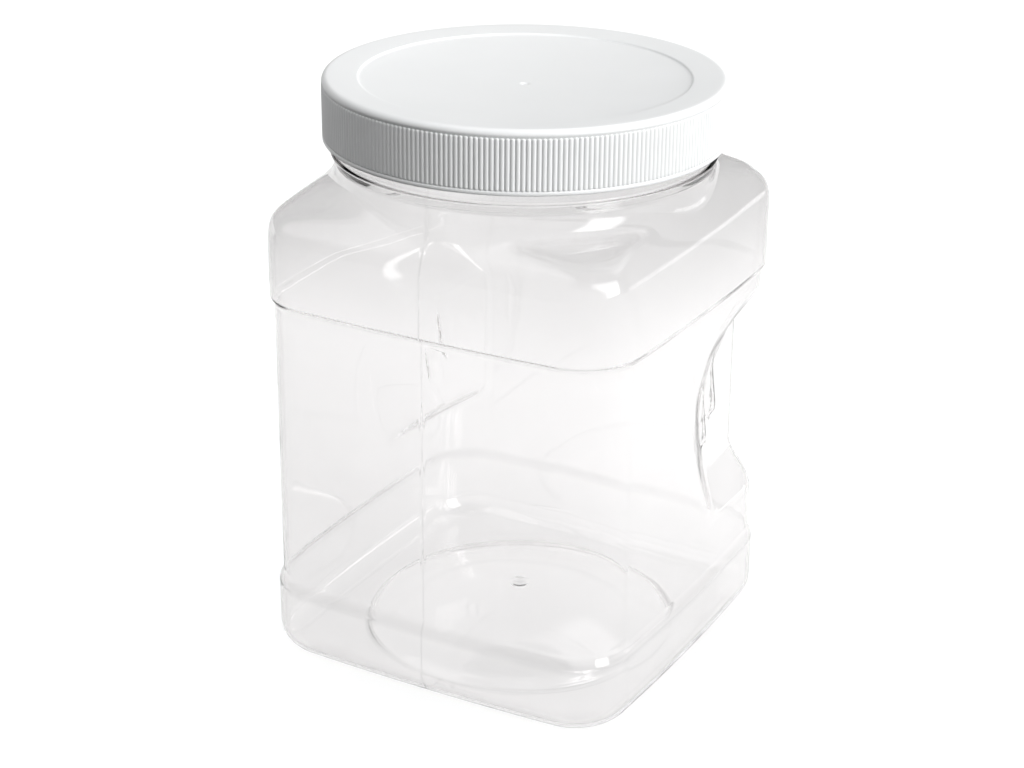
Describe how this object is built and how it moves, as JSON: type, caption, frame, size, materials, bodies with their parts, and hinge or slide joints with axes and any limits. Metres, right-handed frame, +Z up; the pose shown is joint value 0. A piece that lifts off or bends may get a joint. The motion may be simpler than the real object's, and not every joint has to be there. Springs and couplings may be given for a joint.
{
  "type": "disinfectant jar",
  "caption": "Square clear grip jar with finger pockets at the rear corners and a ribbed white screw cap with a foam liner.",
  "frame": {"origin": "centre of the base on the table plane", "axes": "+Z up along the neck axis, -Y the front face, the finger pockets on the +X and -X faces at the +Y end"},
  "size_m": [0.116, 0.116, 0.1704],
  "materials": {
    "clear_pet": "clear blow-moulded PET, glossy, with a faint mould parting line",
    "white_pp": "white injection-moulded polypropylene, satin",
    "foam_liner": "white polyethylene foam, matt"
  },
  "bodies": {
    "jar": {"jar_body": "clear_pet"},
    "liner": {"cap_liner": "foam_liner"},
    "cap": {"screw_cap": "white_pp"}
  },
  "joints": [
    {"name": "cap_lift", "type": "slide", "parent": "jar", "child": "liner", "axis": [0, 0, 1], "range_m": [0, 0.0204]},
    {"name": "cap_turn", "type": "hinge", "parent": "liner", "child": "cap", "pos_m": [0, 0, 0.16], "axis": [0, 0, 1], "range_deg": [0, 1440]}
  ],
  "couplings": [
    {"joint": "cap_lift", "follows": "cap_turn", "m_per_rad": 0.00080851}
  ]
}
